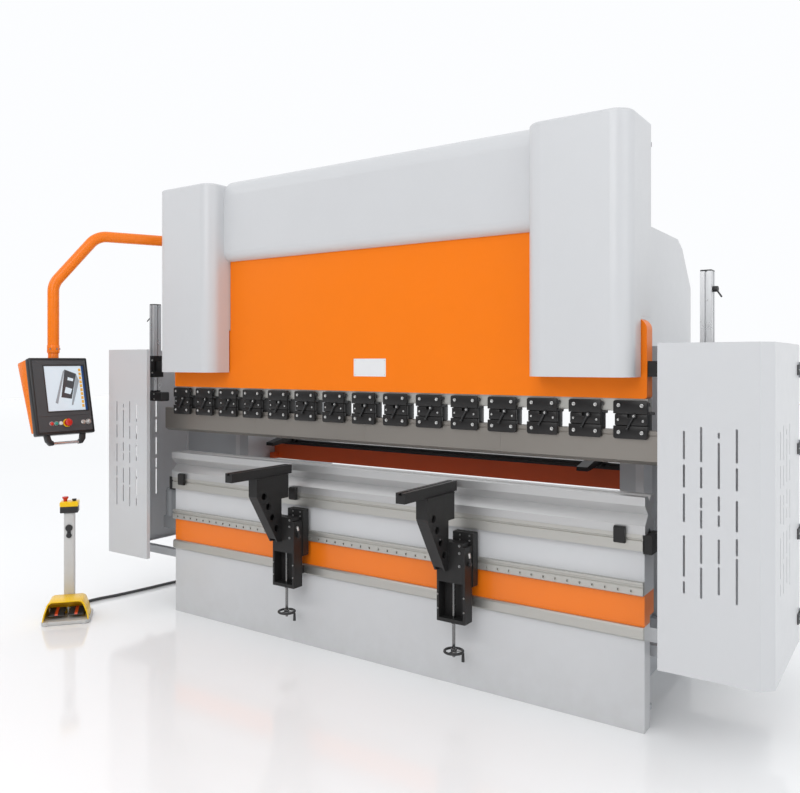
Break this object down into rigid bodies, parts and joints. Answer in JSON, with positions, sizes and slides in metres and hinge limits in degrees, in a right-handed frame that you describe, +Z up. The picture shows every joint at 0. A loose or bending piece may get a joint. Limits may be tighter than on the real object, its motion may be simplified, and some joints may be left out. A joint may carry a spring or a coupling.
{
  "type": "press brake",
  "caption": "Hydraulic sheet-bending press with tall ram, clamped punch, four-way die, hinged side guards, sheet supports, swinging control panel and foot station.",
  "frame": {"origin": "on the floor under the middle of the bend line, on the underside of the lower beam", "axes": "+X along the bend line to the right as the operator sees it, +Y to the rear, +Z up"},
  "size_m": [4.29, 2.1158, 2.78],
  "materials": {
    "white_paint": "satin light grey powder coat",
    "frame_paint": "satin mid grey paint",
    "orange_paint": "satin orange paint",
    "black_paint": "fine textured black paint",
    "guide_steel": "ground steel with a light oil film",
    "die_steel": "bright planed steel",
    "punch_steel": "phosphated tool steel",
    "rod_chrome": "hard chrome",
    "cast_grey": "painted casting",
    "post_aluminium": "anodised profile",
    "bolt_steel": "zinc plated",
    "black_plastic": "moulded, fine grain",
    "screen_glass": "lit display",
    "red_plastic": "gloss moulded",
    "green_plastic": "gloss moulded",
    "white_plastic": "gloss moulded",
    "yellow_plastic": "gloss moulded",
    "base_plastic": "light grey casting",
    "cable_rubber": "corrugated sheath"
  },
  "bodies": {
    "frame": {"arm_bracket": "black_paint", "bed_beam": "white_paint", "cable_glands": "black_plastic", "crowning_drive": "cast_grey", "cylinder_cover_left": "white_paint", "cylinder_cover_right": "white_paint", "die_block": "die_steel", "die_clamps": "black_paint", "die_holder": "guide_steel", "electrical_cabinet": "frame_paint", "foot_base": "base_plastic", "foot_hood": "yellow_plastic", "gauge_rails": "guide_steel", "guard_frames": "frame_paint", "hydraulic_cylinders": "cast_grey", "oil_tank": "frame_paint", "pedal_cable": "cable_rubber", "pump_unit": "cast_grey", "ram_guides": "guide_steel", "side_covers": "white_paint", "side_frames": "frame_paint", "station_box": "yellow_plastic", "station_post": "base_plastic", "support_rails": "guide_steel", "top_fairing": "white_paint"},
    "ram": {"ram_beam": "orange_paint", "clamp_holder": "guide_steel", "tool_clamps": "black_paint", "clamp_fittings": "bolt_steel", "punches": "punch_steel", "piston_rods": "rod_chrome", "laser_brackets": "black_paint"},
    "laser_left": {"laser_unit_left": "post_aluminium"},
    "laser_right": {"laser_unit_right": "post_aluminium"},
    "guard_left": {"guard_door_left": "white_paint"},
    "guard_right": {"guard_door_right": "white_paint"},
    "arm": {"control_arm": "orange_paint"},
    "panel": {"panel_case": "black_paint", "panel_screen": "screen_glass"},
    "panel_stop": {"panel_estop": "red_plastic"},
    "button_red": {"panel_button_red": "red_plastic"},
    "button_green": {"panel_button_green": "green_plastic"},
    "button_white": {"panel_button_white": "white_plastic"},
    "selector": {"panel_selector": "bolt_steel"},
    "gauge": {"gauge_beam": "orange_paint"},
    "finger_left": {"gauge_finger_left": "black_paint"},
    "finger_right": {"gauge_finger_right": "black_paint"},
    "pedal_l": {"pedal_left": "black_plastic"},
    "pedal_r": {"pedal_right": "black_plastic"},
    "foot_stop": {"station_estop": "red_plastic"},
    "foot_button": {"station_button": "black_plastic"},
    "cabinet_leaf": {"cabinet_door": "frame_paint"},
    "carriage_left": {"support_carriage_left": "black_paint"},
    "lift_left": {"support_arm_left": "black_paint"},
    "wheel_left": {"handwheel_left": "black_paint"},
    "lock_left": {"lock_lever_left": "bolt_steel"},
    "carriage_right": {"support_carriage_right": "black_paint"},
    "lift_right": {"support_arm_right": "black_paint"},
    "wheel_right": {"handwheel_right": "black_paint"},
    "lock_right": {"lock_lever_right": "bolt_steel"}
  },
  "joints": [
    {"name": "ram_stroke", "type": "slide", "parent": "frame", "child": "ram", "axis": [0, 0, -1], "range_m": [0, 0.145]},
    {"name": "laser_left_height", "type": "slide", "parent": "ram", "child": "laser_left", "axis": [0, 0, 1], "range_m": [-0.1, 0.085]},
    {"name": "laser_right_height", "type": "slide", "parent": "ram", "child": "laser_right", "axis": [0, 0, 1], "range_m": [-0.1, 0.085]},
    {"name": "guard_right_door", "type": "hinge", "parent": "frame", "child": "guard_right", "pos_m": [2.103, 0.53, 1.04], "axis": [0, 0, 1], "range_deg": [0, 90]},
    {"name": "guard_left_door", "type": "hinge", "parent": "frame", "child": "guard_left", "pos_m": [-2.103, 0.53, 1.04], "axis": [0, 0, -1], "range_deg": [0, 90]},
    {"name": "support_left_travel", "type": "slide", "parent": "frame", "child": "carriage_left", "axis": [1, 0, 0], "range_m": [-0.9, 0.3]},
    {"name": "support_left_lift", "type": "slide", "parent": "carriage_left", "child": "lift_left", "axis": [0, 0, 1], "range_m": [-0.12, 0.03]},
    {"name": "support_left_wheel", "type": "hinge", "parent": "carriage_left", "child": "wheel_left", "pos_m": [-0.462, -0.155, 0.215], "axis": [0, 0, 1], "range_deg": [-4320, 1080]},
    {"name": "support_left_lock", "type": "hinge", "parent": "carriage_left", "child": "lock_left", "pos_m": [-0.3717, -0.15, 0.655], "axis": [1, 0, 0], "range_deg": [0, 60]},
    {"name": "support_right_travel", "type": "slide", "parent": "frame", "child": "carriage_right", "axis": [1, 0, 0], "range_m": [-0.3, 0.75]},
    {"name": "support_right_lift", "type": "slide", "parent": "carriage_right", "child": "lift_right", "axis": [0, 0, 1], "range_m": [-0.12, 0.03]},
    {"name": "support_right_wheel", "type": "hinge", "parent": "carriage_right", "child": "wheel_right", "pos_m": [0.643, -0.155, 0.215], "axis": [0, 0, 1], "range_deg": [-4320, 1080]},
    {"name": "support_right_lock", "type": "hinge", "parent": "carriage_right", "child": "lock_right", "pos_m": [0.7333, -0.15, 0.655], "axis": [1, 0, 0], "range_deg": [0, 60]},
    {"name": "control_arm_swing", "type": "hinge", "parent": "frame", "child": "arm", "pos_m": [-1.44, 0.55, 2.465], "axis": [0, 0, 1], "range_deg": [-30, 0]},
    {"name": "panel_swivel", "type": "hinge", "parent": "arm", "child": "panel", "pos_m": [-2.0293, -0.61661, 1.69], "axis": [0, 0, 1], "range_deg": [-45, 45]},
    {"name": "panel_stop_press", "type": "slide", "parent": "panel", "child": "panel_stop", "axis": [-0.9707, 0.0849, -0.225], "range_m": [0, 0.005], "stiffness_N_per_m": 1200},
    {"name": "button_red_press", "type": "slide", "parent": "panel", "child": "button_red", "axis": [-0.9707, 0.0849, -0.225], "range_m": [0, 0.003], "stiffness_N_per_m": 800},
    {"name": "button_green_press", "type": "slide", "parent": "panel", "child": "button_green", "axis": [-0.9707, 0.0849, -0.225], "range_m": [0, 0.003], "stiffness_N_per_m": 800},
    {"name": "button_white_press", "type": "slide", "parent": "panel", "child": "button_white", "axis": [-0.9707, 0.0849, -0.225], "range_m": [0, 0.003], "stiffness_N_per_m": 800},
    {"name": "selector_turn", "type": "hinge", "parent": "panel", "child": "selector", "pos_m": [-1.85938, -0.4809, 1.26477], "axis": [-0.9707, 0.0849, -0.225], "range_deg": [-45, 45]},
    {"name": "gauge_travel", "type": "slide", "parent": "frame", "child": "gauge", "axis": [0, 1, 0], "range_m": [-0.18, 0.3]},
    {"name": "finger_left_travel", "type": "slide", "parent": "gauge", "child": "finger_left", "axis": [1, 0, 0], "range_m": [0, 0.9]},
    {"name": "finger_right_travel", "type": "slide", "parent": "gauge", "child": "finger_right", "axis": [1, 0, 0], "range_m": [-0.9, 0]},
    {"name": "pedal_l_press", "type": "hinge", "parent": "frame", "child": "pedal_l", "pos_m": [-2.03573, -0.57498, 0.062], "axis": [0.6468, 0.7627, 0], "range_deg": [0, 7], "stiffness_Nm_per_rad": 25, "springref_deg": -4.58},
    {"name": "pedal_r_press", "type": "hinge", "parent": "frame", "child": "pedal_r", "pos_m": [-1.9607, -0.48651, 0.062], "axis": [0.6468, 0.7627, 0], "range_deg": [0, 7], "stiffness_Nm_per_rad": 25, "springref_deg": -4.58},
    {"name": "foot_stop_press", "type": "slide", "parent": "frame", "child": "foot_stop", "axis": [0, 0, -1], "range_m": [0, 0.005], "stiffness_N_per_m": 1200, "springref_m": -0.002},
    {"name": "foot_button_press", "type": "slide", "parent": "frame", "child": "foot_button", "axis": [0, 0, -1], "range_m": [0, 0.004], "stiffness_N_per_m": 800, "springref_m": -0.002},
    {"name": "cabinet_door_swing", "type": "hinge", "parent": "frame", "child": "cabinet_leaf", "pos_m": [1.852, 1.256, 1.045], "axis": [0, 0, 1], "range_deg": [0, 110]}
  ],
  "couplings": [
    {"joint": "support_left_lift", "follows": "support_left_wheel", "m_per_rad": 0.0015915},
    {"joint": "support_right_lift", "follows": "support_right_wheel", "m_per_rad": 0.0015915}
  ]
}
